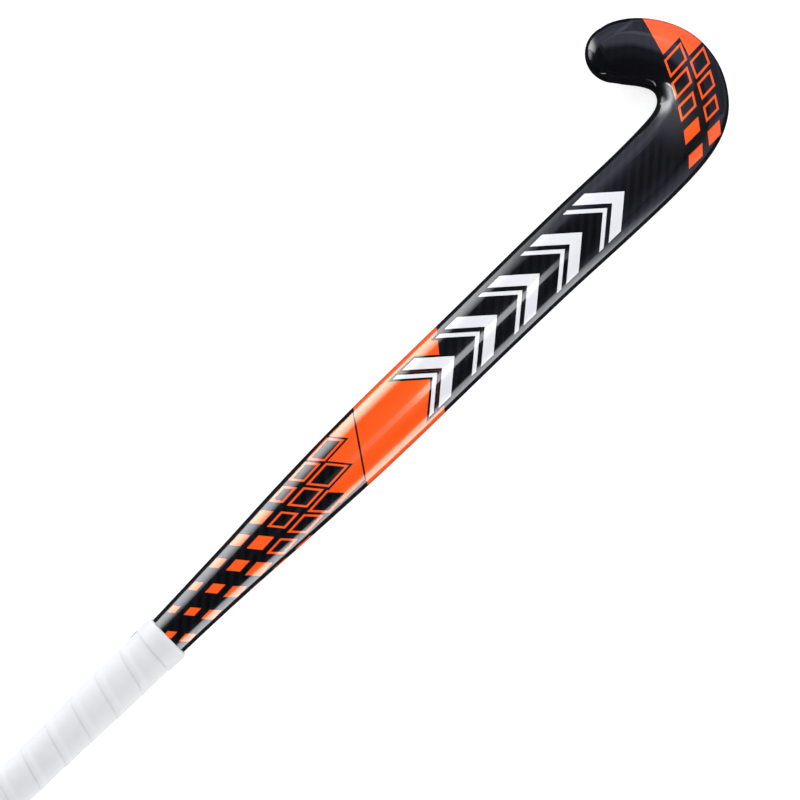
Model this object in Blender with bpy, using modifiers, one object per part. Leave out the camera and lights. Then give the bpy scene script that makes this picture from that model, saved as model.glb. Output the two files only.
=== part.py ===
"""Field hockey stick, 36.5 inch, moulded carbon composite with a wound grip.

The stick lies on its flat playing face. X runs across the shaft, with the toe of the hook at +X,
Y runs up the shaft from the bottom of the head to the butt, and Z runs up from the floor, through
the playing face to the rounded back. The origin is at the middle of the bounding box's base.
"""
import math

import bmesh
import bpy
from mathutils import Vector

MM = 0.001

# Overall
LENGTH = 927.0          # bottom of the head to the butt, 36.5 inch
GAP = 0.3               # clearance between pieces that touch
CORE_GAP = 0.7          # clearance between the laminate and what fills it

# Head, seen from the back. Each row is a rib across the hook: a point on the outer edge, the point on
# the inner edge that faces it, and the thickness there. The first rib is the nearest to the toe.
HEAD_RIBS = [
    (96.2, 39.8, 60.4, 67.0, 18.0),
    (90.6, 29.6, 56.6, 64.2, 18.3),
    (82.0, 19.6, 53.2, 61.4, 18.8),
    (69.0, 9.6, 49.4, 58.2, 19.4),
    (54.0, 2.7, 45.5, 55.4, 20.0),
    (38.0, 0.0, 41.0, 52.9, 20.5),
    (20.0, 2.2, 37.4, 52.0, 21.0),
    (4.0, 9.2, 34.0, 52.6, 21.4),
    (-10.5, 20.8, 30.2, 55.2, 21.6),
    (-20.6, 37.5, 27.0, 61.5, 21.7),
    (-25.8, 58.0, 25.6, 72.0, 21.7),
    (-27.7, 82.0, 24.9, 88.0, 21.7),
    (-27.9, 110.0, 24.6, 110.0, 21.7),
    (-27.0, 150.0, 25.4, 150.0, 21.7),
]
TOE_CENTRE = (77.4, 53.3)       # the toe is an arc
TOE_RADIUS = 21.4
TOE_DIRECTION = math.radians(56.0)
TOE_START = math.radians(18.0)
TOE_THICKNESS = 17.8
TOE_STEPS = 6

# Shaft: distance from the bottom of the head, middle, width, thickness
SHAFT_RIBS = [
    (200.0, 0.0, 51.0, 21.8),
    (265.0, 0.0, 49.8, 22.0),
    (350.0, 0.0, 49.7, 22.4),
    (395.0, 0.0, 48.4, 23.0),
    (435.0, 0.0, 45.6, 24.0),
    (467.0, -0.2, 42.6, 25.0),
    (500.0, -0.5, 38.8, 26.0),
    (530.0, -0.7, 36.0, 26.8),
    (560.0, -1.1, 33.7, 27.4),
    (590.0, -1.5, 32.1, 27.5),
    (640.0, -1.1, 31.6, 27.2),
    (690.0, -1.2, 29.2, 26.8),
    (740.0, -1.2, 28.0, 26.6),
    (830.0, -1.2, 27.6, 26.5),
    (922.0, -1.2, 27.6, 26.5),
]
SHELL_END = SHAFT_RIBS[-1][0]

# Section: flat face with rounded edges and a domed back, which turns into an oval at the handle
FACE_EDGE_RISE = 6.0            # height of the widest point above the face
FACE_EDGE_RUN = 6.0             # width of the rounding beside the flat face
HEAD_FULLNESS = 2.2             # superellipse power of the back on the head, 2 is an ellipse
BACK_FULLNESS = 2.5             # and on the shaft
HEAD_END = 110.0
SHAFT_START = 250.0
OVAL_START = 380.0
OVAL_END = 570.0

# Bow: the face is a straight ramp on the head, one arc, then a straight ramp down to the butt
HEAD_SLOPE = 0.145
HEAD_FLAT_END = 90.0
BOW_END = 276.0
HANDLE_SLOPE = -0.0316

# Laminate and what it holds
SHELL_WALL = 2.0
TUBE_WALL = 1.0
HEAD_CORE_END = 148.0
TUBE_START = 150.0
TUBE_END = 798.0
HANDLE_FOAM_START = 800.0
HANDLE_FOAM_END = 883.0
PLUG_START = 885.0
PLUG_FLANGE = 1.6
CORE_TOE_STEPS = 1              # toe ribs that the foam core reaches into

# Handle coverings, as distances outward from the laminate
BASE_TAPE_START = 589.0
BASE_TAPE_END = 911.0
BASE_TAPE_WALL = 0.5
GRIP_START = 588.0
GRIP_END = 913.5
GRIP_WALL = 1.0
GRIP_PITCH = 25.5
GRIP_RELIEF = 0.25
GRIP_RINGS = 78
GRIP_RIDGE_POWER = 3            # higher is a narrower ridge
GRIP_FADE = 6.0                 # way over which the ridges grow beside the finishing tape
BAND_START = 582.3
BAND_END = 604.0
BAND_WALL = 0.5
BAND_LIP = 2.5
CAP_START = 914.0
CAP_WALL = 1.7
CAP_END_WALL = 2.8
CAP_EDGE = 0.8

# Resolution
BACK_STEPS = 10
FACE_STEPS = 12
TUBE_STEPS = 6
HEAD_STEPS = 2
SHAFT_STEPS = 2
RIB_ROOM = 1.0                  # least distance from a piece's end to its next rib

COLLECTION = "field_hockey_stick"


def blend(start, end, amount):
    """Straight mix of two values."""
    return start + (end - start) * amount


def smooth_step(low, high, value):
    """0 below low, 1 above high, with an S-shaped way between them."""
    amount = min(max((value - low) / (high - low), 0.0), 1.0)
    return amount * amount * (3.0 - 2.0 * amount)


def catmull_rom(rows, steps):
    """Smooth curve through rows of numbers, with a given number of steps between two rows."""
    before = tuple(2 * a - b for a, b in zip(rows[0], rows[1]))
    after = tuple(2 * a - b for a, b in zip(rows[-1], rows[-2]))
    padded = [before, *rows, after]
    curve = []
    for p0, p1, p2, p3 in zip(padded, padded[1:], padded[2:], padded[3:]):
        for step in range(steps):
            t = step / steps
            curve.append(tuple(
                0.5 * (2 * b + (c - a) * t + (2 * a - 5 * b + 4 * c - d) * t * t
                       + (3 * b - a - 3 * c + d) * t * t * t)
                for a, b, c, d in zip(p0, p1, p2, p3)))
    curve.append(tuple(rows[-1]))
    return curve


def face_height(y):
    """Height of the playing face's plane above the floor, which gives the stick its bow."""
    if y <= HEAD_FLAT_END:
        return HEAD_SLOPE * y
    arc = min(y, BOW_END) - HEAD_FLAT_END
    bend = (HANDLE_SLOPE - HEAD_SLOPE) / (BOW_END - HEAD_FLAT_END)
    height = HEAD_SLOPE * (HEAD_FLAT_END + arc) + bend * arc * arc / 2
    return height + HANDLE_SLOPE * max(y - BOW_END, 0.0)


def toe_rib(way):
    """Rib of the toe's arc, from 0, where the arc starts, to 1, its tip, with its share of height."""
    angle = blend(TOE_START, math.pi / 2, way)
    along = Vector((math.cos(TOE_DIRECTION), math.sin(TOE_DIRECTION)))
    across = Vector((along.y, -along.x)) * TOE_RADIUS * math.cos(angle)
    middle = Vector(TOE_CENTRE) + along * TOE_RADIUS * math.sin(angle)
    rise = (math.sin(angle) - math.sin(TOE_START)) / (1.0 - math.sin(TOE_START))
    share = math.sqrt(max(1.0 - rise * rise, 0.0))
    return (*(middle + across), *(middle - across), TOE_THICKNESS, share)


def ribs(first_toe_step):
    """All ribs from the toe to the butt, each with the share of its full height that it has."""
    toe = []
    for step in range(first_toe_step, 0, -1):
        toe.append(toe_rib(step / TOE_STEPS))
    head = catmull_rom([toe_rib(0.0)[:5], *HEAD_RIBS], HEAD_STEPS)[:-1]
    shaft_rows = [(middle - width / 2, y, middle + width / 2, y, thickness)
                  for y, middle, width, thickness in SHAFT_RIBS]
    shaft = catmull_rom([HEAD_RIBS[-1], *shaft_rows], SHAFT_STEPS)
    return toe + [(*rib, 1.0) for rib in head + shaft]


def rib_at(y):
    """Straight rib across the shaft at one distance from the head's bottom, or beyond its end."""
    rows = ribs(0)
    if y > SHELL_END:
        return (rows[-1][0], y, rows[-1][2], y, *rows[-1][4:])
    for near, far in zip(rows, rows[1:]):
        if near[1] <= y <= far[1] and near[1] == near[3]:
            amount = (y - near[1]) / (far[1] - near[1])
            return tuple(blend(a, b, amount) for a, b in zip(near, far))
    raise ValueError("no shaft at this height")


def shaft_ribs(start, end):
    """Ribs of the shaft from one distance to another, with one exactly at each end."""
    between = [rib for rib in ribs(0)
               if rib[1] == rib[3] and start + RIB_ROOM < rib[1] < end - RIB_ROOM]
    return [rib_at(start), *between, rib_at(end)]


def section_shape(rib, outward):
    """Half width, height, edge rise, edge run and power of a rib's section, grown by outward."""
    outer_x, outer_y, inner_x, inner_y, thickness, share = rib
    half = math.hypot(inner_x - outer_x, inner_y - outer_y) / 2 + outward
    middle_y = (outer_y + inner_y) / 2
    oval = smooth_step(OVAL_START, OVAL_END, middle_y)
    height = thickness * share + 2 * outward
    rise = blend(FACE_EDGE_RISE * share, thickness / 2, oval) + outward
    run = min(blend(FACE_EDGE_RUN, half - outward, oval) + outward, half)
    fullness = blend(HEAD_FULLNESS, BACK_FULLNESS, smooth_step(HEAD_END, SHAFT_START, middle_y))
    power = blend(fullness, 2.0, oval)
    return half, height, rise, run, power


def back_point(shape, angle):
    """Point on the domed back: angle 0 is the inner edge, 180 degrees the outer edge."""
    half, height, rise, _, power = shape
    cosine = math.cos(angle)
    across = math.copysign(abs(cosine) ** (2 / power), cosine) * half
    return across, rise + (height - rise) * math.sin(angle) ** (2 / power)


def face_point(shape, across):
    """Point on the face side: flat in the middle and rounded up beside it."""
    half, _, rise, run, _ = shape
    past_flat = min(max((abs(across) - (half - run)) / run, 0.0), 1.0)
    return across, rise * (1.0 - math.sqrt(1.0 - past_flat * past_flat))


def full_section(shape):
    """Closed section, over the back and then along the face."""
    points = [back_point(shape, math.pi * step / BACK_STEPS) for step in range(BACK_STEPS + 1)]
    for step in range(1, FACE_STEPS):
        points.append(face_point(shape, -shape[0] * math.cos(math.pi * step / FACE_STEPS)))
    return points


def half_section(shape, side, web):
    """Half of a section, from its edge to a straight wall beside the middle."""
    limit = math.acos((web / shape[0]) ** (shape[4] / 2))
    points = [back_point(shape, limit * step / TUBE_STEPS) for step in range(TUBE_STEPS + 1)]
    for step in range(TUBE_STEPS):
        reach = math.sin(math.pi / 2 * step / TUBE_STEPS)
        points.append(face_point(shape, blend(web, shape[0], reach)))
    if side < 0:
        points = [(-across, up) for across, up in reversed(points)]
    return points


def place_section(rib, section, outward):
    """Section points in millimetres as a ring of points on the stick."""
    outer = Vector(rib[0:2])
    inner = Vector(rib[2:4])
    middle = (outer + inner) / 2
    across = (inner - outer).normalized()
    lift = FACE_EDGE_RISE * (1.0 - rib[5]) - outward
    ring = []
    for offset, up in section:
        x, y = middle + across * offset
        ring.append(Vector((x, y, face_height(y) + lift + up)) * MM)
    return ring


def ring_at(rib, outward):
    """Ring around the stick at a rib, at a distance outward from the laminate's surface."""
    return place_section(rib, full_section(section_shape(rib, outward)), outward)


def make_material(name, colour, roughness, metallic=0.0):
    """Plain material for one piece."""
    material = bpy.data.materials.new(name)
    material.use_nodes = True
    shader = material.node_tree.nodes["Principled BSDF"]
    shader.inputs["Base Color"].default_value = (*colour, 1.0)
    shader.inputs["Roughness"].default_value = roughness
    shader.inputs["Metallic"].default_value = metallic
    material.diffuse_color = (*colour, 1.0)
    return material


def add_loft(name, rings, material, tip=None, capped=False, looped=False):
    """Surface through a row of rings.

    A tip point closes the start, capped closes both ends with a flat face, and looped joins the
    last ring to the first, for a sleeve whose rings go up its outside and back down its inside.
    """
    surface = bmesh.new()
    loops = [[surface.verts.new(point) for point in ring] for ring in rings]
    following = loops[1:] + loops[:1] if looped else loops[1:]
    for near, far in zip(loops, following):
        for a, b, c, d in zip(near, far, far[1:] + far[:1], near[1:] + near[:1]):
            surface.faces.new((a, b, c, d))
    if tip is not None:
        point = surface.verts.new(tip)
        for a, b in zip(loops[0], loops[0][1:] + loops[0][:1]):
            surface.faces.new((point, a, b))
    if capped:
        surface.faces.new(loops[0])
        surface.faces.new(loops[-1][::-1])
    mesh = bpy.data.meshes.new(name)
    surface.to_mesh(mesh)
    surface.free()
    mesh.materials.append(material)
    mesh.shade_smooth()
    mesh.set_sharp_from_angle(angle=math.radians(50.0))
    piece = bpy.data.objects.new(name, mesh)
    bpy.data.collections[COLLECTION].objects.link(piece)
    return piece


def add_wall(piece, thickness):
    """Wall that grows inward from an open surface."""
    wall = piece.modifiers.new("wall", "SOLIDIFY")
    wall.thickness = thickness * MM
    wall.offset = -1.0
    wall.use_even_offset = True


def add_outer_laminate():
    """Hollow one-piece shaft and hook, open at the handle end."""
    rings = [ring_at(rib, 0.0) for rib in ribs(TOE_STEPS - 1)]
    tip_x, tip_y = toe_rib(1.0)[0:2]
    tip = Vector((tip_x, tip_y, face_height(tip_y) + FACE_EDGE_RISE)) * MM
    material = make_material("carbon_laminate", (0.012, 0.012, 0.015), 0.2)
    add_wall(add_loft("outer_laminate", rings, material, tip=tip), SHELL_WALL)


def add_head_foam_core():
    """Foam that fills the hook and the heel."""
    depth = -(SHELL_WALL + CORE_GAP)
    head = [rib for rib in ribs(CORE_TOE_STEPS) if rib[1] < HEAD_RIBS[-1][1] - RIB_ROOM]
    rings = [ring_at(rib, depth) for rib in [*head, rib_before_tubes()]]
    material = make_material("core_foam", (0.78, 0.68, 0.45), 0.9)
    add_loft("head_foam_core", rings, material, capped=True)


def rib_before_tubes():
    """Rib where the foam core ends, just short of the tubes."""
    near = HEAD_RIBS[-2]
    far = HEAD_RIBS[-1]
    amount = (HEAD_CORE_END - near[1]) / (far[1] - near[1])
    return (*(blend(a, b, amount) for a, b in zip(near, far)), 1.0)


def add_inner_tube(name, side):
    """One of the two tubes that lie side by side in the shaft and make its centre web."""
    outward = -(SHELL_WALL + CORE_GAP)
    rings = []
    for rib in shaft_ribs(TUBE_START, TUBE_END):
        section = half_section(section_shape(rib, outward), side, CORE_GAP / 2)
        rings.append(place_section(rib, section, outward))
    material = make_material("tube_laminate", (0.03, 0.03, 0.035), 0.45)
    add_wall(add_loft(name, rings, material), TUBE_WALL)


def add_handle_foam_plug():
    """Foam dosed into the top of the handle."""
    depth = -(SHELL_WALL + CORE_GAP)
    rings = [ring_at(rib, depth) for rib in shaft_ribs(HANDLE_FOAM_START, HANDLE_FOAM_END)]
    material = make_material("handle_foam", (0.70, 0.66, 0.55), 0.9)
    add_loft("handle_foam_plug", rings, material, capped=True)


def add_butt_plug():
    """Hard plug in the open end of the handle, with a flange that covers the laminate's edge."""
    depth = -(SHELL_WALL + GAP)
    flange = SHELL_END + GAP
    steps = ((PLUG_START, depth), (flange, depth), (flange, 0.0), (flange + PLUG_FLANGE, 0.0))
    rings = [ring_at(rib_at(y), outward) for y, outward in steps]
    material = make_material("plug_plastic", (0.20, 0.20, 0.21), 0.5)
    add_loft("butt_plug", rings, material, capped=True)


def add_base_tape():
    """Double-sided tape between the laminate and the grip."""
    outward = GAP + BASE_TAPE_WALL
    rings = [ring_at(rib, outward) for rib in shaft_ribs(BASE_TAPE_START, BASE_TAPE_END)]
    material = make_material("adhesive_tape", (0.75, 0.70, 0.58), 0.6)
    add_wall(add_loft("base_tape", rings, material), BASE_TAPE_WALL)


def grip_relief(y, turn):
    """Height of the overlap ridge at a distance along the handle and a share of a turn."""
    phase = (y - GRIP_START) / GRIP_PITCH - turn
    ridge = max(math.cos(2 * math.pi * phase), 0.0) ** GRIP_RIDGE_POWER
    return GRIP_RELIEF * ridge * smooth_step(BAND_END, BAND_END + GRIP_FADE, y)


def add_grip_tape():
    """Cushioned strip wound in a spiral, modelled as a sleeve with the ridge of its overlaps."""
    outward = 2 * GAP + BASE_TAPE_WALL + GRIP_WALL
    rings = []
    for step in range(GRIP_RINGS + 1):
        y = blend(GRIP_START, GRIP_END, step / GRIP_RINGS)
        rib = rib_at(y)
        ring = ring_at(rib, outward)
        proud = ring_at(rib, outward + GRIP_RELIEF)
        for index, point in enumerate(proud):
            turn = index / len(ring)
            ring[index] = ring[index].lerp(point, grip_relief(y, turn) / GRIP_RELIEF)
        rings.append(ring)
    material = make_material("grip_cushion", (0.88, 0.88, 0.90), 0.65)
    add_wall(add_loft("grip_tape", rings, material), GRIP_WALL)


def add_finishing_tape():
    """Band over the grip's lower end, turned down onto the shaft below it."""
    over_grip = 3 * GAP + BASE_TAPE_WALL + GRIP_WALL
    turned_down = BAND_START + BAND_LIP
    outside = (
        (BAND_START, GAP + BAND_WALL),
        (blend(BAND_START, turned_down, 0.4), blend(GAP, over_grip, 0.75) + BAND_WALL),
        (turned_down, over_grip + BAND_WALL),
        (BAND_END, over_grip + BAND_WALL),
    )
    inside = ((BAND_END, over_grip), (turned_down, over_grip), (turned_down, GAP), (BAND_START, GAP))
    rings = [ring_at(rib_at(y), outward) for y, outward in outside + inside]
    material = make_material("band_tape", (0.90, 0.90, 0.92), 0.55)
    add_loft("finishing_tape", rings, material, looped=True)


def add_end_cap():
    """Rubber cap over the butt: a cup, from its inner floor to its rim and back to its end face."""
    outward = GAP + CAP_WALL
    steps = (
        (LENGTH - CAP_END_WALL, GAP),
        (CAP_START, GAP),
        (CAP_START, outward),
        (LENGTH - CAP_EDGE, outward),
        (LENGTH, outward - CAP_EDGE),
    )
    rings = [ring_at(rib_at(y), distance) for y, distance in steps]
    material = make_material("cap_rubber", (0.02, 0.02, 0.02), 0.7)
    add_loft("end_cap", rings, material, capped=True)


def place_origin():
    """Parent every piece to an empty that puts the bounding box's base middle at the origin."""
    bpy.context.view_layer.update()
    depsgraph = bpy.context.evaluated_depsgraph_get()
    pieces = list(bpy.data.collections[COLLECTION].objects)
    corners = []
    for piece in pieces:
        corners += [Vector(corner) for corner in piece.evaluated_get(depsgraph).bound_box]
    low = [min(corner[axis] for corner in corners) for axis in range(3)]
    high = [max(corner[axis] for corner in corners) for axis in range(3)]
    root = bpy.data.objects.new("stick_origin", None)
    bpy.data.collections[COLLECTION].objects.link(root)
    root.location = (-(low[0] + high[0]) / 2, -(low[1] + high[1]) / 2, -low[2])
    for piece in pieces:
        piece.parent = root


def main():
    for thing in list(bpy.data.objects):
        bpy.data.objects.remove(thing, do_unlink=True)
    bpy.context.scene.collection.children.link(bpy.data.collections.new(COLLECTION))
    add_outer_laminate()
    add_head_foam_core()
    add_inner_tube("inner_tube_toe_side", 1)
    add_inner_tube("inner_tube_heel_side", -1)
    add_handle_foam_plug()
    add_butt_plug()
    add_base_tape()
    add_grip_tape()
    add_finishing_tape()
    add_end_cap()
    place_origin()


main()
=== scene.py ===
import math

import bmesh
import bpy
from mathutils import Matrix, Vector, noise


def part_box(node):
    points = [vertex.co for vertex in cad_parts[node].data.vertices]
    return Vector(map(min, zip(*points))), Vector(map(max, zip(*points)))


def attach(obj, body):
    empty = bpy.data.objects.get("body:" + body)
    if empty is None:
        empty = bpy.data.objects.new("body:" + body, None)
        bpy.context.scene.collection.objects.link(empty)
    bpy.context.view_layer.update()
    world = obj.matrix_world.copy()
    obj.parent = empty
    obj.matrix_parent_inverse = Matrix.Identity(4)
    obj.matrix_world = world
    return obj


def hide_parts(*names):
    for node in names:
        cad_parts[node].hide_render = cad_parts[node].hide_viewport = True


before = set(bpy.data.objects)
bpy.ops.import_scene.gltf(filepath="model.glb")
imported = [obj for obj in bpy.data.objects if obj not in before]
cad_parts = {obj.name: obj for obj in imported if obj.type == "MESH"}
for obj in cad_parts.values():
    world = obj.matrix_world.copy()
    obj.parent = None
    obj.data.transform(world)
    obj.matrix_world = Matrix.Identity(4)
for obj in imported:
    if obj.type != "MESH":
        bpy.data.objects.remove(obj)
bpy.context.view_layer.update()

# Looks of the field hockey stick. Lengths on the stick are in millimetres: x across the shaft with the
# toe at +x, y up the shaft from the bottom of the head. on_stick() turns them into the frame's metres.
MM = 0.001
UP = Vector((0.0, 0.0, 1.0))
TOE_WARD = Vector((1.0, 0.0, 0.0))

# Shape, as in the CAD
LENGTH = 927.0
GAP = 0.3
HEAD_RIBS = [
    (96.2, 39.8, 60.4, 67.0, 18.0),
    (90.6, 29.6, 56.6, 64.2, 18.3),
    (82.0, 19.6, 53.2, 61.4, 18.8),
    (69.0, 9.6, 49.4, 58.2, 19.4),
    (54.0, 2.7, 45.5, 55.4, 20.0),
    (38.0, 0.0, 41.0, 52.9, 20.5),
    (20.0, 2.2, 37.4, 52.0, 21.0),
    (4.0, 9.2, 34.0, 52.6, 21.4),
    (-10.5, 20.8, 30.2, 55.2, 21.6),
    (-20.6, 37.5, 27.0, 61.5, 21.7),
    (-25.8, 58.0, 25.6, 72.0, 21.7),
    (-27.7, 82.0, 24.9, 88.0, 21.7),
    (-27.9, 110.0, 24.6, 110.0, 21.7),
    (-27.0, 150.0, 25.4, 150.0, 21.7),
]
TOE_CENTRE = (77.4, 53.3)
TOE_RADIUS = 21.4
TOE_DIRECTION = math.radians(56.0)
TOE_START = math.radians(18.0)
TOE_THICKNESS = 17.8
SHAFT_RIBS = [
    (200.0, 0.0, 51.0, 21.8),
    (265.0, 0.0, 49.8, 22.0),
    (350.0, 0.0, 49.7, 22.4),
    (395.0, 0.0, 48.4, 23.0),
    (435.0, 0.0, 45.6, 24.0),
    (467.0, -0.2, 42.6, 25.0),
    (500.0, -0.5, 38.8, 26.0),
    (530.0, -0.7, 36.0, 26.8),
    (560.0, -1.1, 33.7, 27.4),
    (590.0, -1.5, 32.1, 27.5),
    (640.0, -1.1, 31.6, 27.2),
    (690.0, -1.2, 29.2, 26.8),
    (740.0, -1.2, 28.0, 26.6),
    (830.0, -1.2, 27.6, 26.5),
    (922.0, -1.2, 27.6, 26.5),
]
RIB_PASSES = 10
SHELL_END = SHAFT_RIBS[-1][0]
SHELL_WALL = 2.0
FACE_EDGE_RISE = 6.0
FACE_EDGE_RUN = 6.0
HEAD_FULLNESS = 2.2
BACK_FULLNESS = 2.5
HEAD_END = 110.0
SHAFT_START = 250.0
OVAL_START = 380.0
OVAL_END = 570.0
HEAD_SLOPE = 0.145
HEAD_FLAT_END = 90.0
BOW_END = 276.0
HANDLE_SLOPE = -0.0316
BASE_TAPE_WALL = 0.5
GRIP_START = 588.0
GRIP_END = 913.5
GRIP_WALL = 1.0
GRIP_PITCH = 25.5
BAND_START = 582.3
BAND_END = 604.0
BAND_WALL = 0.5
BAND_LIP = 2.5
CAP_START = 914.0
CAP_WALL = 1.7
CAP_END_WALL = 2.8

# Fineness of the visible surface
BACK_STEPS = 48
FACE_STEPS = 40
TOE_STEPS = 18
HEAD_STEPS = 9
SHAFT_STEPS = 14
INNER_EVERY = 8


def blend(start, end, amount):
    """Straight mix of two values."""
    return start + (end - start) * amount


def smooth_step(low, high, value):
    """0 below low, 1 above high, with an S-shaped way between them."""
    amount = min(max((value - low) / (high - low), 0.0), 1.0)
    return amount * amount * (3.0 - 2.0 * amount)


def catmull_rom(rows, steps):
    """Smooth curve through rows of numbers, with a given number of steps between two rows."""
    before = tuple(2 * a - b for a, b in zip(rows[0], rows[1]))
    after = tuple(2 * a - b for a, b in zip(rows[-1], rows[-2]))
    padded = [before, *rows, after]
    curve = []
    for p0, p1, p2, p3 in zip(padded, padded[1:], padded[2:], padded[3:]):
        for step in range(steps):
            t = step / steps
            curve.append(tuple(
                0.5 * (2 * b + (c - a) * t + (2 * a - 5 * b + 4 * c - d) * t * t
                       + (3 * b - a - 3 * c + d) * t * t * t)
                for a, b, c, d in zip(p0, p1, p2, p3)))
    curve.append(tuple(rows[-1]))
    return curve


def relaxed(rows, passes):
    """Rows of numbers with small wobbles taken out, and the ends kept."""
    for _ in range(passes):
        inner = [tuple((a + 2 * b + c) / 4 for a, b, c in zip(*three))
                 for three in zip(rows, rows[1:], rows[2:])]
        rows = [rows[0], *inner, rows[-1]]
    return rows


def face_height(y):
    """Height of the playing face above the floor, which gives the stick its bow."""
    if y <= HEAD_FLAT_END:
        return HEAD_SLOPE * y
    arc = min(y, BOW_END) - HEAD_FLAT_END
    bend = (HANDLE_SLOPE - HEAD_SLOPE) / (BOW_END - HEAD_FLAT_END)
    height = HEAD_SLOPE * (HEAD_FLAT_END + arc) + bend * arc * arc / 2
    return height + HANDLE_SLOPE * max(y - BOW_END, 0.0)


def toe_rib(way):
    """Rib of the toe's arc, from 0, where the arc starts, to 1, its tip, with its share of height."""
    angle = blend(TOE_START, math.pi / 2, way)
    along = Vector((math.cos(TOE_DIRECTION), math.sin(TOE_DIRECTION)))
    across = Vector((along.y, -along.x)) * TOE_RADIUS * math.cos(angle)
    middle = Vector(TOE_CENTRE) + along * TOE_RADIUS * math.sin(angle)
    rise = (math.sin(angle) - math.sin(TOE_START)) / (1.0 - math.sin(TOE_START))
    share = math.sqrt(max(1.0 - rise * rise, 0.0))
    return (*(middle + across), *(middle - across), TOE_THICKNESS, share)


def all_ribs():
    """Ribs from the toe to the butt, each with the share of its full height that it has."""
    toe = [toe_rib(step / TOE_STEPS) for step in range(TOE_STEPS - 1, 0, -1)]
    head = catmull_rom([toe_rib(0.0)[:5], *HEAD_RIBS], HEAD_STEPS)[:-1]
    shaft_rows = [(middle - width / 2, y, middle + width / 2, y, thickness)
                  for y, middle, width, thickness in SHAFT_RIBS]
    shaft = catmull_rom([HEAD_RIBS[-1], *shaft_rows], SHAFT_STEPS)
    return toe + [(*rib, 1.0) for rib in relaxed(head + shaft, RIB_PASSES)]


RIBS = all_ribs()


def rib_at(y):
    """Straight rib across the shaft at one distance from the head's bottom, or beyond its end."""
    if y > SHELL_END:
        return (RIBS[-1][0], y, RIBS[-1][2], y, *RIBS[-1][4:])
    for near, far in zip(RIBS, RIBS[1:]):
        if near[1] <= y <= far[1] and near[1] == near[3]:
            amount = (y - near[1]) / (far[1] - near[1])
            return tuple(blend(a, b, amount) for a, b in zip(near, far))
    raise ValueError("no shaft at this height")


def section_shape(rib, outward):
    """Half width, height, edge rise, edge run and power of a rib's section, grown by outward."""
    outer_x, outer_y, inner_x, inner_y, thickness, share = rib
    half = math.hypot(inner_x - outer_x, inner_y - outer_y) / 2 + outward
    middle_y = (outer_y + inner_y) / 2
    oval = smooth_step(OVAL_START, OVAL_END, middle_y)
    height = thickness * share + 2 * outward
    rise = blend(FACE_EDGE_RISE * share, thickness / 2, oval) + outward
    run = min(blend(FACE_EDGE_RUN, half - outward, oval) + outward, half)
    fullness = blend(HEAD_FULLNESS, BACK_FULLNESS, smooth_step(HEAD_END, SHAFT_START, middle_y))
    power = blend(fullness, 2.0, oval)
    return half, height, rise, run, power


def section_point(shape, turn):
    """Point at a share of a turn: 0 is the inner edge, 0.25 the ridge, 0.75 the face's middle."""
    half, height, rise, run, power = shape
    angle = 2 * math.pi * turn
    cosine = math.cos(angle)
    if turn <= 0.5:
        across = math.copysign(abs(cosine) ** (2 / power), cosine) * half
        return across, rise + (height - rise) * max(math.sin(angle), 0.0) ** (2 / power)
    across = cosine * half
    past_flat = min(max((abs(across) - (half - run)) / run, 0.0), 1.0)
    return across, rise * (1.0 - math.sqrt(1.0 - past_flat * past_flat))


RING_TURNS = ([0.5 * step / BACK_STEPS for step in range(BACK_STEPS)]
              + [0.5 + 0.5 * step / FACE_STEPS for step in range(FACE_STEPS)])


def place(rib, across_up, outward):
    """Section point in millimetres as a point on the stick in metres, before the frame's offset."""
    outer = Vector(rib[0:2])
    inner = Vector(rib[2:4])
    x, y = (outer + inner) / 2 + (inner - outer).normalized() * across_up[0]
    lift = FACE_EDGE_RISE * (1.0 - rib[5]) - outward
    return Vector((x, y, face_height(y) + lift + across_up[1])) * MM


def ring_at(rib, outward):
    """Ring around the stick at a rib, at a distance outward from the laminate's surface."""
    shape = section_shape(rib, outward)
    return [place(rib, section_point(shape, turn), outward) for turn in RING_TURNS]


def frame_offset():
    """Way from the stick's own zero to the frame's, from the laminate's box in the CAD."""
    points = [point for rib in RIBS for point in ring_at(rib, 0.0)]
    low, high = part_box("outer_laminate")
    return Vector((low[0] - min(point.x for point in points),
                   high[1] - SHELL_END * MM,
                   low[2] - min(point.z for point in points)))


OFFSET = frame_offset()


def on_stick(x, y, z=0.0):
    """Point given in millimetres on the stick, in the frame's metres."""
    return Vector((x, y, z)) * MM + OFFSET


# ---------------------------------------------------------------- camera, floor and light

VIEW_MIDDLE = (4.6, 341.6)  # place on the stick at the picture's middle
VIEW_WIDTH = 583.9  # width that the picture takes in, at the depth below
VIEW_TURN = math.radians(225.9)
VIEW_DISTANCE = 4.0
VIEW_DEPTH = 20.0  # height of the stick's widest line above the floor
FLOOR_GLOW = 0.73
COOL = (0.93, 0.95, 1.0)
BLUE = (0.70, 0.73, 1.0)


def add_camera():
    """Long lens looking straight down on the stick's back."""
    camera = bpy.data.objects.new("camera", bpy.data.cameras.new("camera"))
    camera.location = on_stick(*VIEW_MIDDLE, VIEW_DEPTH) + UP * VIEW_DISTANCE
    camera.rotation_euler = (0.0, 0.0, VIEW_TURN)
    camera.data.sensor_width = 36.0
    camera.data.lens = camera.data.sensor_width * VIEW_DISTANCE / (VIEW_WIDTH * MM)
    camera.data.clip_end = 50.0
    bpy.context.scene.collection.objects.link(camera)
    bpy.context.scene.camera = camera


def ramp_node(owner, value, stops):
    """Level at a value, between rows of (value, level)."""
    ramp = add_node(owner, "ShaderNodeValToRGB", Fac=value)
    elements = ramp.color_ramp.elements
    while len(elements) < len(stops):
        elements.new(0.5)
    for element, (position, level) in zip(elements, stops):
        element.position = position
        element.color = (level, level, level, 1.0)
    return ramp.outputs["Color"]


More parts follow.
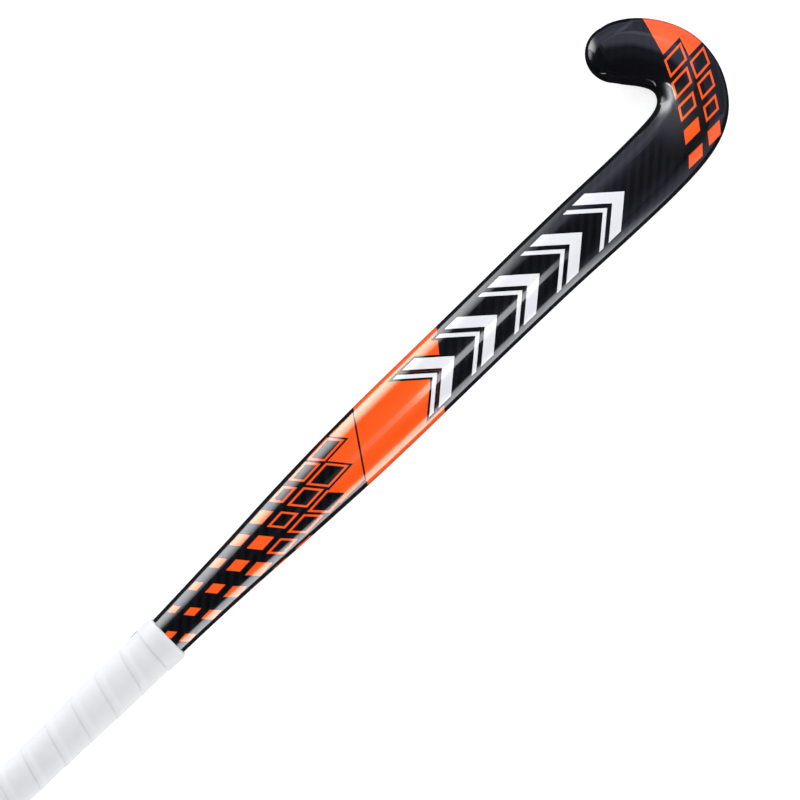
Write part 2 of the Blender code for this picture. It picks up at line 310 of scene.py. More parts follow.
def softbox(name, where, aim, width, length, strength, heights=None, lengths=None, colour=(1.0, 1.0, 1.0)):
    """Rectangular lamp that faces its aim, with a strength for each square metre.

    heights and lengths are rows of (share, level) for how its glow changes upward and up the stick.
    """
    light = bpy.data.lights.new(name, "AREA")
    light.shape = "RECTANGLE"
    light.size = width
    light.size_y = length
    light.energy = width * length * math.pi
    light.color = colour
    lamp = bpy.data.objects.new(name, light)
    lamp.location = on_stick(*where)
    away = (lamp.location - on_stick(*aim)).normalized()
    side = Vector((0.0, 1.0, 0.0)).cross(away).normalized()
    along = away.cross(side)
    lamp.rotation_euler = Matrix((side, along, away)).transposed().to_euler()
    lamp.visible_camera = False
    bpy.context.scene.collection.objects.link(lamp)
    light.use_nodes = True
    height, way, _ = place_parts(light, "ShaderNodeNewGeometry", "Parametric")
    if side.z <= 0:
        height = maths(light, "SUBTRACT", 1.0, height)
    level = maths(light, "ADD", strength, 0.0)
    for share, stops in ((height, heights), (way, lengths)):
        if stops:
            level = maths(light, "MULTIPLY", ramp_node(light, share, stops), level)
    plug_in(light, light.node_tree.nodes["Emission"], Strength=level)
    return lamp


# Lamps that only the lacquer mirrors, as the arguments of softbox
MIRRORED_LAMPS = [
    ("panel_toe_side", (1500.0, 225.0, 800.0), (0.0, 225.0, 800.0), 2.2, 1.35, 10.2,
     [(0.0, 0.8), (0.3, 1.0), (0.54, 0.82), (0.78, 0.42), (1.0, 0.10)],
     [(0.0, 0.0), (0.24, 0.02), (0.38, 0.30), (0.49, 0.70), (0.65, 1.0), (0.91, 1.0), (1.0, 0.0)], COOL),
    ("panel_toe_tip", (1500.0, 1380.0, 600.0), (0.0, 1380.0, 600.0), 1.4, 1.2, 7.5,
     [(0.0, 0.6), (0.3, 1.0), (0.6, 0.6), (1.0, 0.0)], [(0.0, 0.0), (0.1, 1.0), (0.5, 0.7), (1.0, 0.0)],
     COOL),
    ("panel_heel_side", (-1500.0, 225.0, 390.0), (0.0, 225.0, 390.0), 1.38, 1.35, 9.2,
     [(0.0, 0.8), (0.2, 1.0), (0.75, 0.9), (1.0, 0.1)],
     [(0.0, 0.0), (0.17, 0.02), (0.27, 0.25), (0.38, 0.73), (0.70, 0.78), (0.78, 1.0), (0.93, 1.0),
      (1.0, 0.0)], COOL),
    ("strip_overhead", (-10.8, 375.0, 150.0), (-10.8, 375.0, 0.0), 0.017, 0.45, 8.5, None,
     [(0.0, 0.0), (0.04, 0.22), (0.08, 0.62), (0.14, 1.0), (0.38, 1.0), (0.43, 0.24), (0.48, 0.13),
      (0.56, 0.07), (0.70, 0.02), (0.85, 0.0)], COOL),
    ("strip_neck", (55.1, 68.9, 67.5), (-30.2, 14.6, 0.0), 0.0896, 0.0456, 646.0,
     [(0.0, 0.0), (0.08, 0.0022), (0.3, 0.0030), (0.5, 0.0059), (0.7, 0.0101), (0.92, 1.0), (1.0, 0.0)],
     [(0.0, 0.0), (0.08, 0.32), (0.3, 1.0), (0.5, 0.41), (0.7, 0.059), (0.92, 0.0135), (1.0, 0.0)], COOL),
    ("panel_above_head", (850.0, -1320.0, 2000.0), (850.0, -1320.0, 0.0), 1.5, 1.36, 1.2,
     None, [(0.0, 1.0), (0.8, 1.0), (1.0, 0.0)], BLUE),
    ("panel_above_neck", (0.0, -400.0, 2000.0), (0.0, -400.0, 0.0), 2.9, 0.8, 0.7,
     [(0.0, 1.0), (0.2, 0.4), (0.4, 0.18), (0.66, 0.18), (1.0, 0.6)],
     [(0.0, 0.0), (0.12, 1.0), (0.40, 1.0), (0.55, 0.55), (0.75, 0.0)], BLUE),
    ("panel_beyond_head", (0.0, -1500.0, 500.0), (0.0, 0.0, 499.0), 3.2, 2.8, 0.85,
     [(0.0, 1.0), (0.25, 0.95), (0.5, 0.6), (1.0, 0.6)], [(0.0, 0.8), (0.35, 0.6), (0.6, 0.9), (1.0, 1.0)],
     BLUE),
    ("panel_head_toe_side", (1450.0, -700.0, 850.0), (0.0, -700.0, 850.0), 2.3, 1.6, 1.35,
     [(0.0, 0.5), (0.35, 0.6), (0.6, 1.0), (1.0, 0.5)], [(0.0, 1.0), (0.85, 1.0), (1.0, 0.0)], BLUE),
    ("panel_head_heel_side", (-1450.0, -700.0, 850.0), (0.0, -700.0, 850.0), 2.3, 1.6, 0.8,
     [(0.0, 0.9), (0.4, 1.0), (1.0, 0.1)], [(0.0, 1.0), (0.85, 1.0), (1.0, 0.0)], BLUE),
]
# Lamps that only light the matt surfaces
FILL_LAMPS = [
    ("fill_toe_side", (1700.0, 460.0, 900.0), (0.0, 460.0, 0.0), 1.3, 2.6, 3.4),
    ("fill_heel_side", (-1700.0, 460.0, 900.0), (0.0, 460.0, 0.0), 1.3, 2.6, 3.0),
    ("fill_above", (0.0, 460.0, 2200.0), (0.0, 460.0, 0.0), 1.5, 2.6, 1.5),
    ("fill_head", (500.0, -1200.0, 900.0), (0.0, 0.0, 0.0), 1.6, 1.0, 2.6),
]
STRIP_TURN = -0.022  # the overhead strip follows the handle's slight slant
NECK_SPREAD = math.radians(81.0)  # keeps the neck's small lamp off the rest of the hook
WORLD_COLOUR = (0.85, 0.92, 1.0, 1.0)
WORLD_STRENGTH = 0.03


def add_lights():
    """Soft studio light: panels and strips for the reflections, and soft fills."""
    world = bpy.data.worlds.new("studio")
    world.use_nodes = True
    plug_in(world, world.node_tree.nodes["Background"], Color=WORLD_COLOUR, Strength=WORLD_STRENGTH)
    bpy.context.scene.world = world
    for arguments in MIRRORED_LAMPS:
        lamp = softbox(*arguments)
        lamp.visible_diffuse = False
        if lamp.name == "strip_overhead":
            lamp.rotation_euler.z += STRIP_TURN
        if lamp.name == "strip_neck":
            lamp.data.spread = NECK_SPREAD
    for arguments in FILL_LAMPS:
        softbox(*arguments).visible_glossy = False
    bpy.context.scene.view_settings.view_transform = "Standard"


# ---------------------------------------------------------------- materials

def new_material(name):
    """Material with its Principled shader, ready for nodes."""
    look = bpy.data.materials.new(name)
    look.use_nodes = True
    return look, look.node_tree.nodes["Principled BSDF"]


def plug_in(look, node, **inputs):
    """Inputs of a node, given as values or as sockets to link."""
    for key, value in inputs.items():
        socket = node.inputs[int(key[1:])] if key[1:].isdigit() else node.inputs[key.replace("_", " ")]
        if isinstance(value, bpy.types.NodeSocket):
            look.node_tree.links.new(value, socket)
        else:
            socket.default_value = value


def add_node(look, kind, settings=(), **inputs):
    """Node with settings and inputs."""
    node = look.node_tree.nodes.new(kind)
    for key, value in dict(settings).items():
        setattr(node, key, value)
    plug_in(look, node, **inputs)
    return node


def place_parts(look, kind, output, settings=()):
    """X, y and z of the place that a node gives."""
    where = add_node(look, kind, settings).outputs[output]
    return add_node(look, "ShaderNodeSeparateXYZ", Vector=where).outputs


def maths(look, operation, *values):
    """Result of a math node."""
    inputs = {f"i{index}": value for index, value in enumerate(values)}
    return add_node(look, "ShaderNodeMath", {"operation": operation}, **inputs).outputs[0]


def mix_colour(look, factor, first, second):
    """Mix of two colours, given as red, green and blue."""
    return add_node(look, "ShaderNodeMix", {"data_type": "RGBA"}, i0=factor, i6=(*first, 1.0),
                    i7=(*second, 1.0)).outputs[2]


def bumped(look, shader, height, distance, strength):
    """Give the shader a bump from a height in units of distance."""
    bump = add_node(look, "ShaderNodeBump", Strength=strength, Distance=distance, Height=height)
    plug_in(look, shader, Normal=bump.outputs["Normal"])


def lacquer(look, shader):
    """Clear gloss lacquer over what the shader already has."""
    plug_in(look, shader, Coat_Weight=1.0, Coat_Roughness=COAT_ROUGHNESS, Coat_IOR=1.5)


def cloudy(look, scale, detail):
    """Noise over the object, with a scale in features a metre."""
    where = add_node(look, "ShaderNodeTexCoord").outputs["Object"]
    return add_node(look, "ShaderNodeTexNoise", Vector=where, Scale=scale, Detail=detail).outputs["Fac"]


TOW = 1.8  # width of a carbon tow
FLOAT_REPEAT = 8.6  # way along a tow from one float to the next
FLOAT_EDGE = (-0.25, 0.35)  # levels of the wave between which a float starts
WANDER = 0.5  # how far the tows stray from straight
TOW_CROWN = -3.4  # fall of a tow from its middle to its sides, for its bump and for the painted shade across it
BACK_WEAVE = (-1.15, 1.75)  # how much finer the weave is on the back, across and along
WALE_SHIFT = 0.27  # way that the floats step along for each millimetre across the tows
HOOK_FROM = 18.0  # places across the stick between which the painted sheen of the floats fades on the hook
HOOK_TO = 36.0
# share of the weave's painted sheen that is left on the hook
HOOK_SHEEN = 0.35
COAT_ROUGHNESS = 0.075


def twill(look):
    """Sheared twill from the weave coordinates: how far a place is on a float, and its crown."""
    x, y, _ = place_parts(look, "ShaderNodeUVMap", "UV", {"uv_map": "weave"})
    wander = maths(look, "MULTIPLY", cloudy(look, 260.0, 1.0), WANDER)
    across = maths(look, "MULTIPLY_ADD", maths(look, "ADD", x, y), math.sqrt(0.5) / TOW, wander)
    along = maths(look, "MULTIPLY", maths(look, "SUBTRACT", y, x), math.sqrt(0.5) / FLOAT_REPEAT)
    row = maths(look, "FLOOR", across)
    shifted = maths(look, "MULTIPLY_ADD", row, -WALE_SHIFT * TOW / FLOAT_REPEAT, along)
    shifted = maths(look, "MULTIPLY_ADD", wander, 0.3, shifted)
    wave = maths(look, "SINE", maths(look, "MULTIPLY", shifted, 2.0 * math.pi))
    on_top = add_node(look, "ShaderNodeMapRange", {"interpolation_type": "SMOOTHSTEP"}, Value=wave,
                      From_Min=FLOAT_EDGE[0], From_Max=FLOAT_EDGE[1]).outputs["Result"]
    offset = maths(look, "SUBTRACT", maths(look, "FRACT", across), 0.5)
    square = maths(look, "MULTIPLY", offset, offset)
    crown = maths(look, "MULTIPLY_ADD", square, TOW_CROWN, 1.0)
    return on_top, crown


def carbon_material():
    """Carbon twill under clear lacquer, near black, with the weave's sheen painted into the colour: floats
    a little lighter, each tow darker towards its sides.
    """
    look, shader = new_material("carbon_twill")
    on_top, crown = twill(look)
    cloud = cloudy(look, 330.0, 3.0)
    # painted sheen and shade of the weave: floats lighter, each tow darker towards its sides, varied by a
    # cloud and faded on the hook
    lit = maths(look, "MULTIPLY", on_top, crown)
    lit = maths(look, "MULTIPLY", lit, maths(look, "MULTIPLY_ADD", cloud, 0.8, 0.6))
    place_x = place_parts(look, "ShaderNodeTexCoord", "Object")[0]
    hook = add_node(look, "ShaderNodeMapRange", Value=place_x, From_Min=OFFSET.x + HOOK_FROM * MM,
                    From_Max=OFFSET.x + HOOK_TO * MM, To_Min=1.0, To_Max=HOOK_SHEEN).outputs["Result"]
    lit = maths(look, "MULTIPLY", lit, hook)
    plug_in(look, shader, Specular_IOR_Level=0.05,
            Base_Color=mix_colour(look, lit, (0.0013, 0.0014, 0.0022), (0.0064, 0.0061, 0.0086)),
            Roughness=maths(look, "MULTIPLY_ADD", on_top, -0.14, 0.50))
    lacquer(look, shader)
    bumped(look, shader, crown, 0.00008, 0.3)
    return look


def print_material(name, colour, depth, roughness, shine, tint):
    """Printed colour under the lacquer, with a faint cloud in the ink and a tinted shine of its own."""
    look, shader = new_material(name)
    cloud = cloudy(look, 60.0, 4.0)
    grain = cloudy(look, 2600.0, 1.0)
    amount = maths(look, "MULTIPLY_ADD", grain, 0.35, maths(look, "MULTIPLY", cloud, 0.5))
    plug_in(look, shader, Base_Color=mix_colour(look, amount, depth, colour),
            Roughness=maths(look, "MULTIPLY_ADD", cloud, 0.12, roughness),
            Specular_IOR_Level=shine, Specular_Tint=(*tint, 1.0))
    lacquer(look, shader)
    bumped(look, shader, grain, 0.00002, 0.3)
    return look


def cushion_material(name, colour, shade, dots, roughness):
    """Soft polyurethane with a fine embossing of dots."""
    look, shader = new_material(name)
    x, y, _ = place_parts(look, "ShaderNodeUVMap", "UV", {"uv_map": "weave"})
    waves = [maths(look, "SINE", maths(look, "MULTIPLY", maths(look, operation, x, y), dots))
             for operation in ("ADD", "SUBTRACT")]
    dot = maths(look, "MULTIPLY", waves[0], waves[1])
    cloud = cloudy(look, 45.0, 4.0)
    pore = cloudy(look, 1800.0, 2.0)
    mixed = maths(look, "MULTIPLY_ADD", cloud, 0.6, maths(look, "MULTIPLY", dot, 0.12))
    plug_in(look, shader, Base_Color=mix_colour(look, mixed, shade, colour),
            Roughness=maths(look, "MULTIPLY_ADD", pore, 0.2, roughness), Sheen_Weight=0.15)
    bumped(look, shader, maths(look, "MULTIPLY_ADD", pore, 0.6, dot), 0.00006, 0.6)
    return look


def plain_material(name, colour, shade, scale, roughness, depth):
    """Moulded or foamed material with a mottled colour and a fine grain."""
    look, shader = new_material(name)
    cloud = cloudy(look, scale, 4.0)
    grain = cloudy(look, scale * 12.0, 2.0)
    plug_in(look, shader, Base_Color=mix_colour(look, cloud, shade, colour),
            Roughness=maths(look, "MULTIPLY_ADD", grain, 0.15, roughness))
    bumped(look, shader, grain, depth, 0.6)
    return look


def smooth_face(shape, corners, layer, places):
    """Smooth face with the weave's place at each corner."""
    face = shape.faces.new(corners)
    face.smooth = True
    for loop, spot in zip(face.loops, places):
        loop[layer].uv = spot
    return face


def finished(name, shape):
    """Mesh from a bmesh, which is freed."""
    mesh = bpy.data.meshes.new(name)
    shape.to_mesh(mesh)
    shape.free()
    return mesh


# ---------------------------------------------------------------- printed laminate

CARBON, ORANGE, WHITE, BLACK = range(4)
BACK, FACE, INSIDE = 1, 2, 3
BIN = 4.0  # length of the slices of the stick that faces are sorted into


class Skin:
    """Laminate surface whose faces can be cut along outlines and given a printed colour."""

    def __init__(self):
        self.mesh = bmesh.new()
        self.normals = self.mesh.verts.layers.float_vector.new("smooth")
        self.sides = self.mesh.faces.layers.int.new("side")
        self.weave = self.mesh.loops.layers.uv.new("weave")
        self.bins = {}

    def sort_in(self, face):
        """Keep a face where its slice of the stick will find it."""
        key = int((face.calc_center_median().y - OFFSET.y) / (BIN * MM))
        self.bins.setdefault(key, set()).add(face)

    def near(self, low, high, sides):
        """Faces of the given sides between two distances up the stick."""
        found = set()
        for key in range(int(low / BIN) - 1, int(high / BIN) + 2):
            found |= {face for face in self.bins.get(key, ()) if face[self.sides] in sides}
        return found

    def paint(self, outline, colour, sides, axis=UP):
        """Give the faces inside a convex outline a colour, cutting them along its edges."""
        centre = sum(outline, Vector()) / len(outline)
        ys = [(point.y - OFFSET.y) / MM for point in outline]
        faces = self.near(min(ys), max(ys), sides)
        if axis is not UP:
            faces = {face for face in faces if face.normal.dot(axis) > 0.2}
        for start, end in zip(outline, outline[1:] + outline[:1]):
            outward = (end - start).cross(axis).normalized()
            if outward.dot(centre - start) > 0:
                outward.negate()
            touched = {face for face in faces
                       if min((corner.co - start).dot(outward) for corner in face.verts) < 0}
            edges = {edge for face in touched for edge in face.edges}
            corners = {corner for face in touched for corner in face.verts}
            cut = bmesh.ops.bisect_plane(self.mesh, geom=[*corners, *edges, *touched], dist=2e-6,
                                         plane_co=start, plane_no=outward)
            parts = [part for part in cut["geom"] if isinstance(part, bmesh.types.BMFace)]
            for part in parts:
                self.sort_in(part)
            faces = {part for part in parts if (part.calc_center_median() - start).dot(outward) < 0}
        for face in faces:
            face.material_index = colour

    def paint_plan(self, outline, colour, side):
        """Paint a convex outline of (y, x) places, seen through the stick's thickness."""
        self.paint([on_stick(x, y) for y, x in outline], colour, (side,))


def back_weave(spot):
    """Place for the weave on the back, where it is finer than on the face and runs the other way."""
    return Vector((spot.x * BACK_WEAVE[0], spot.y * BACK_WEAVE[1]))


def weave_places(rib, ring):
    """Places for the weave on one ring: along the surface from the ridge and from the face's middle."""
    outer = Vector(rib[0:2])
    inner = Vector(rib[2:4])
    middle = (outer + inner) / 2
    across = (inner - outer).normalized()
    count = len(ring)
    steps = [(ring[(index + 1) % count] - ring[index]).length / MM for index in range(count)]
    sides = []
    for start, first, last, hand in ((BACK_STEPS // 2, 0, BACK_STEPS, 1),
                                     (BACK_STEPS + FACE_STEPS // 2, BACK_STEPS, count, -1)):
        arcs = {start: 0.0}
        for index in range(start, first, -1):
            arcs[index - 1] = arcs[index] + steps[index - 1] * hand
        for index in range(start, last):
            arcs[(index + 1) % count] = arcs[index] - steps[index] * hand
        sides.append({index: middle + across * arc for index, arc in arcs.items()})
    return {index: back_weave(spot) for index, spot in sides[0].items()}, sides[1]


def loft_skin(skin):
    """Outer surface with its weave places and smooth normals, then the inner wall and the rim."""
    rings = [ring_at(rib, 0.0) for rib in RIBS]
    places = [weave_places(rib, ring) for rib, ring in zip(RIBS, rings)]
    loops = [[skin.mesh.verts.new(point + OFFSET) for point in ring] for ring in rings]
    tip_x, tip_y = toe_rib(1.0)[0:2]
    tip = skin.mesh.verts.new(on_stick(tip_x, tip_y, face_height(tip_y) + FACE_EDGE_RISE))
    tip_places = (back_weave(Vector((tip_x, tip_y))), Vector((tip_x, tip_y)))
    count = len(RING_TURNS)
    for index in range(count):
        side = BACK if index < BACK_STEPS else FACE
        follow = (index + 1) % count
        for row in range(len(rings) - 1):
            corners = ((row, index), (row + 1, index), (row + 1, follow), (row, follow))
            face = smooth_face(skin.mesh, [loops[r][i] for r, i in corners], skin.weave,
                               [places[r][side - BACK][i] for r, i in corners])
            face[skin.sides] = side
        first = places[0][side - BACK]
        face = smooth_face(skin.mesh, (tip, loops[0][index], loops[0][follow]), skin.weave,
                           (tip_places[side - BACK], first[index], first[follow]))
        face[skin.sides] = side
    skin.mesh.normal_update()
    for corner in skin.mesh.verts:
        corner[skin.normals] = corner.normal
    for face in skin.mesh.faces:
        skin.sort_in(face)
    add_inner_wall(skin, loops[-1])


def add_inner_wall(skin, rim):
    """Inner wall of the hollow laminate, from the open handle end to the toe."""
    inner_ribs = [rib for rib in RIBS if rib[5] > 0.8][::-INNER_EVERY]
    loops = [rim]
    for rib in inner_ribs:
        loops.append([skin.mesh.verts.new(point + OFFSET) for point in ring_at(rib, -SHELL_WALL)])
    for near, far in zip(loops, loops[1:]):
        for a, b, c, d in zip(near, far, far[1:] + far[:1], near[1:] + near[:1]):
            skin.mesh.faces.new((a, b, c, d))[skin.sides] = INSIDE
    skin.mesh.faces.new(loops[-1][::-1])[skin.sides] = INSIDE


def inset(outline, line):
    """Parallelogram with each side moved inward by the width of a line."""
    points = [Vector(point) for point in outline]
    centre = sum(points, Vector((0.0, 0.0))) / len(points)
    lines = []
    for start, end in zip(points, points[1:] + points[:1]):
        along = (end - start).normalized()
        inward = Vector((-along.y, along.x))
        if inward.dot(centre - start) < 0:
            inward.negate()
        lines.append((start + inward * line, along))
    corners = []
    for (p, d), (q, e) in zip(lines[-1:] + lines[:-1], lines):
        amount = ((q - p).x * e.y - (q - p).y * e.x) / (d.x * e.y - d.y * e.x)
        corners.append(tuple(p + d * amount))
    return corners


# Handle pattern: three rows of marks, each row with the place of its first mark and what changes
# from one mark to the next. All marks shrink towards the grip at the same rate.
MARK_ROWS = [
    {"start": 399.0, "pitch": 23.55, "middle": 16.4, "drift": -0.95, "squeeze": 0.79, "lean": 0.66},
    {"start": 412.0, "pitch": 23.9, "middle": 2.2, "drift": -0.50, "squeeze": 1.0, "lean": 0.84},
    {"start": 425.0, "pitch": 24.4, "middle": -12.1, "drift": 0.03, "squeeze": 0.92, "lean": 0.86},
]
MARK_COUNT = 8
MARK_LENGTH = 21.5
MARK_LENGTH_RATE = 0.84
MARK_HEIGHT = 13.0
MARK_HEIGHT_RATE = 0.88
MARK_SLOPE = -0.06
OUTLINED_MARKS = 3
MARK_LINE = 1.55
MARK_BORDER = 1.4


def mark_outline(row, index):
    """Parallelogram of one mark of the handle pattern, as (y, x) places."""
    length = MARK_LENGTH * MARK_LENGTH_RATE ** index
    height = MARK_HEIGHT * MARK_HEIGHT_RATE ** index
    left = row["start"] + row["pitch"] * index
    lean = row["lean"] * height
    half = height * row["squeeze"] / 2
    middle = row["middle"] + row["drift"] * index
    top = middle + half
    bottom = middle - half
    drop = MARK_SLOPE * length / 2
    return [(left, top - drop), (left + length, top + drop),
            (left + length - lean, bottom + drop), (left - lean, bottom - drop)]


BAND_FROM = ((285.0, 25.0), (325.0, -25.0))  # head-side border of the orange band, as (y, x)
BAND_TO = ((370.0, 24.0), (402.0, -24.0))  # its handle-side border
DIVIDER = 1.6  # length of the black line after it, along the shaft
BEYOND = 60.0  # safely past the stick's edge
FIELD_TOP = 21.9
FIELD_BOTTOM = -18.9
CLEARING_RISE = 0.12  # how far the black beside a first mark rises above it


def border_y(border, x):
    """Distance up the stick where a slanted border crosses a place across it."""
    (y0, x0), (y1, x1) = border
    return y0 + (y1 - y0) * (x - x0) / (x1 - x0)


def paint_handle(skin, side):
    """Orange band, the orange field beyond its black line, and the rows of marks."""
    band = [(border_y(BAND_FROM, BEYOND), BEYOND), (border_y(BAND_TO, BEYOND), BEYOND),
            (border_y(BAND_TO, -BEYOND), -BEYOND), (border_y(BAND_FROM, -BEYOND), -BEYOND)]
    skin.paint_plan(band, ORANGE, side)
    field_end = MARK_ROWS[-1]["start"]
    field = [(border_y(BAND_TO, FIELD_TOP) + DIVIDER, FIELD_TOP), (field_end, FIELD_TOP),
             (field_end, FIELD_BOTTOM), (border_y(BAND_TO, FIELD_BOTTOM) + DIVIDER, FIELD_BOTTOM)]
    skin.paint_plan(field, ORANGE, side)
    far = field_end + 1.0
    for row in MARK_ROWS[:-1]:
        top_left, _, bottom_right, bottom_left = inset(mark_outline(row, 0), -MARK_BORDER)
        raised = Vector(top_left) + (Vector(top_left) - Vector(bottom_left)) * CLEARING_RISE
        slope = (bottom_right[1] - bottom_left[1]) / (bottom_right[0] - bottom_left[0])
        skin.paint_plan([tuple(raised), (far, raised.y),
                         (far, bottom_left[1] + slope * (far - bottom_left[0])), bottom_left], CARBON, side)
    for row in MARK_ROWS:
        for index in range(MARK_COUNT):
            outline = mark_outline(row, index)
            if outline[0][0] < BAND_START - 1.0:
                skin.paint_plan(outline, ORANGE, side)
                if index < OUTLINED_MARKS:
                    skin.paint_plan(inset(outline, MARK_LINE), CARBON, side)


WALL_MARK_COUNT = 4
WALL_MARK_START = 457.0
WALL_MARK_PITCH = 24.4
WALL_MARK_LENGTH = 15.0
WALL_MARK_HEIGHT = 12.0  # of the marks' middle above the face
WALL_MARK_HALF = 3.0
WALL_MARK_LEAN = 3.5


def paint_heel_wall(skin):
    """Small marks on the side wall of the handle, on the heel's side."""
    for index in range(WALL_MARK_COUNT):
        start = WALL_MARK_START + WALL_MARK_PITCH * index
        length = WALL_MARK_LENGTH * MARK_LENGTH_RATE ** index
        middle = face_height(start) + WALL_MARK_HEIGHT
        top = middle + WALL_MARK_HALF
        bottom = middle - WALL_MARK_HALF
        outline = [(start, top), (start + length, top),
                   (start + length - WALL_MARK_LEAN, bottom), (start - WALL_MARK_LEAN, bottom)]
        skin.paint([on_stick(-BEYOND, y, z) for y, z in outline], ORANGE, (BACK, FACE), -TOE_WARD)


# Head pattern: two columns of marks on the back of the hook
HEAD_COLUMNS = [
    {"first": (24.7, 42.8), "step": (8.2, -15.1), "bend": 0.35, "count": 5, "length": 18.4},
    {"first": (13.0, 29.1), "step": (7.5, -14.7), "bend": 0.65, "count": 4, "length": 16.0},
]
HEAD_OUTSIDE = -8.0  # safely past the bottom of the head
# the orange corner, as two convex outlines of (y, x) places
HEAD_CORNER = [
    [(29.5, 51.8), (10.7, 52.8), (HEAD_OUTSIDE, 53.8), (HEAD_OUTSIDE, 92.0), (17.2, 92.0), (20.1, 81.8),
     (25.3, 65.6)],
    [(HEAD_OUTSIDE, 53.8), (10.7, 52.8), (15.5, 38.2), (0.0, 38.9), (HEAD_OUTSIDE, 39.3)],
]
HEAD_OUTLINED = 3
HEAD_LINE = 1.6


def head_mark(column, index):
    """Parallelogram of one mark on the head, as (y, x) places."""
    middle = Vector((column["first"][0] + column["step"][0] * index + column["bend"] * index ** 2,
                     column["first"][1] + column["step"][1] * index))
    long_side = Vector((column["length"] - 1.1 * index, -1.3 + 0.35 * index)) / 2
    short_side = Vector((5.6 + 0.2 * index, -12.5 + 1.35 * index)) / 2
    return [tuple(middle - long_side - short_side), tuple(middle - long_side + short_side),
            tuple(middle + long_side + short_side), tuple(middle + long_side - short_side)]


def paint_head(skin):
    """Orange corner of the hook's back, and the marks that run from it up to the heel."""
    for outline in HEAD_CORNER:
        skin.paint_plan(outline, ORANGE, BACK)
    for column in HEAD_COLUMNS:
        for index in range(column["count"]):
            outline = head_mark(column, index)
            skin.paint_plan(outline, ORANGE, BACK)
            if index < HEAD_OUTLINED:
                skin.paint_plan(inset(outline, HEAD_LINE), CARBON, BACK)


# White motif: plain chevrons that point at the head, each with a thin one behind it
CHEVRON_START = 119.0
CHEVRON_PITCH = 43.0
CHEVRON_COUNT = 5
CHEVRON_REACH = 19.0
CHEVRON_SWEEP = 22.0
CHEVRON_STROKES = ((0.0, 12.5), (17.5, 4.5))  # start and length of each stroke, along the shaft
MOTIF_BORDER = 1.6


def chevron_arm(start, length, hand, border):
    """One arm of a chevron, as (y, x) places."""
    edge = CHEVRON_REACH + border
    sweep = CHEVRON_SWEEP * edge / CHEVRON_REACH
    slack = border * math.hypot(CHEVRON_SWEEP, CHEVRON_REACH) / CHEVRON_REACH
    near = start - slack
    far = start + length + slack
    return [(near, 0.0), (near + sweep, hand * edge), (far + sweep, hand * edge), (far, 0.0)]


def paint_motif(skin, side):
    """White chevrons, with a black border where they lie on the orange band."""
    for colour, border in ((BLACK, MOTIF_BORDER), (WHITE, 0.0)):
        for index in range(CHEVRON_COUNT):
            start = CHEVRON_START + CHEVRON_PITCH * index
            for offset, length in CHEVRON_STROKES:
                if colour == BLACK and start + offset + CHEVRON_SWEEP < BAND_FROM[0][0] - 20.0:
                    continue
                for hand in (1, -1):
                    arm = chevron_arm(start + offset, length, hand, border)
                    skin.paint_plan(arm, colour, side)


LABEL = [(69.0, 4.3), (114.6, 4.3), (118.0, -0.7), (72.4, -0.7)]
LABEL_SLOT = ((0.0, 3.5), (1.2, 3.5), (-1.4, 0.2), (-2.6, 0.2))
LABEL_SLOT_STARTS = (74.0, 77.0, 80.0, 108.0, 111.0)


def paint_label(skin):
    """Plain orange label on the face, with slanted slots near its ends."""
    skin.paint_plan(LABEL, ORANGE, FACE)
    for start in LABEL_SLOT_STARTS:
        skin.paint_plan([(start + y, x) for y, x in LABEL_SLOT], CARBON, FACE)


STRIPE_WIDTH = 4.4
STRIPE_INSET = 4.6
STRIPE_SLOTS = 9
STRIPE_SLOT_STEP = 3  # ribs from one slot to the next
STRIPE_SLOT_LEAN = 1.2
STRIPE_SLOT_HALF = 0.55  # half the width of a slot
STRIPE_SLOT_OVER = 0.3  # way that a slot runs past the stripe's edges
STRIPE_END_Y = 40.0  # the stripe ends before this height on the heel's side
STRIPE_END_X = 88.0  # and before this place on the toe


def stripe_places():
    """Middle line of the face's curved stripe, a constant way inside the head's outer edge."""
    places = []
    for outer_x, outer_y, inner_x, inner_y, _, share in RIBS:
        if share == 1.0 and outer_y < STRIPE_END_Y and outer_x < STRIPE_END_X and outer_y <= inner_y:
            across = (Vector((inner_y, inner_x)) - Vector((outer_y, outer_x))).normalized()
            places.append((Vector((outer_y, outer_x)), across))
    return places


def paint_stripe(skin):
    """Curved orange stripe along the bottom of the face, tapered, with slots near its ends."""
    places = stripe_places()
    last = len(places) - 1
    half_widths = [STRIPE_WIDTH / 2 * (0.25 + 0.75 * smooth_step(0.0, 0.3, min(i, last - i) / last))
                   for i in range(last + 1)]
    middle = STRIPE_INSET + STRIPE_WIDTH / 2
    for index in range(last):
        quad = []
        for step, hand in ((index, -1), (index + 1, -1), (index + 1, 1), (index, 1)):
            edge, across = places[step]
            quad.append(tuple(edge + across * (middle + hand * half_widths[step])))
        skin.paint_plan(quad, ORANGE, FACE)
    for slot in range(STRIPE_SLOTS):
        step = 2 + slot * STRIPE_SLOT_STEP
        for index, hand in ((step, 1), (last - step, -1)):
            edge, across = places[index]
            along = (places[index + 1][0] - places[index - 1][0]).normalized()
            half = across * (half_widths[index] + STRIPE_SLOT_OVER) + along * STRIPE_SLOT_LEAN * hand
            width = along * STRIPE_SLOT_HALF
            base = edge + across * middle
            quad = [base - half - width, base - half + width, base + half + width, base + half - width]
            skin.paint_plan([tuple(point) for point in quad], CARBON, FACE)


def add_piece(name, mesh, materials, node):
    """Object from a mesh that stands for a CAD node and moves with the stick."""
    for look in materials:
        mesh.materials.append(look)
    piece = bpy.data.objects.new(name, mesh)
    bpy.context.scene.collection.objects.link(piece)
    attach(piece, "root")
    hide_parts(node)
    return piece


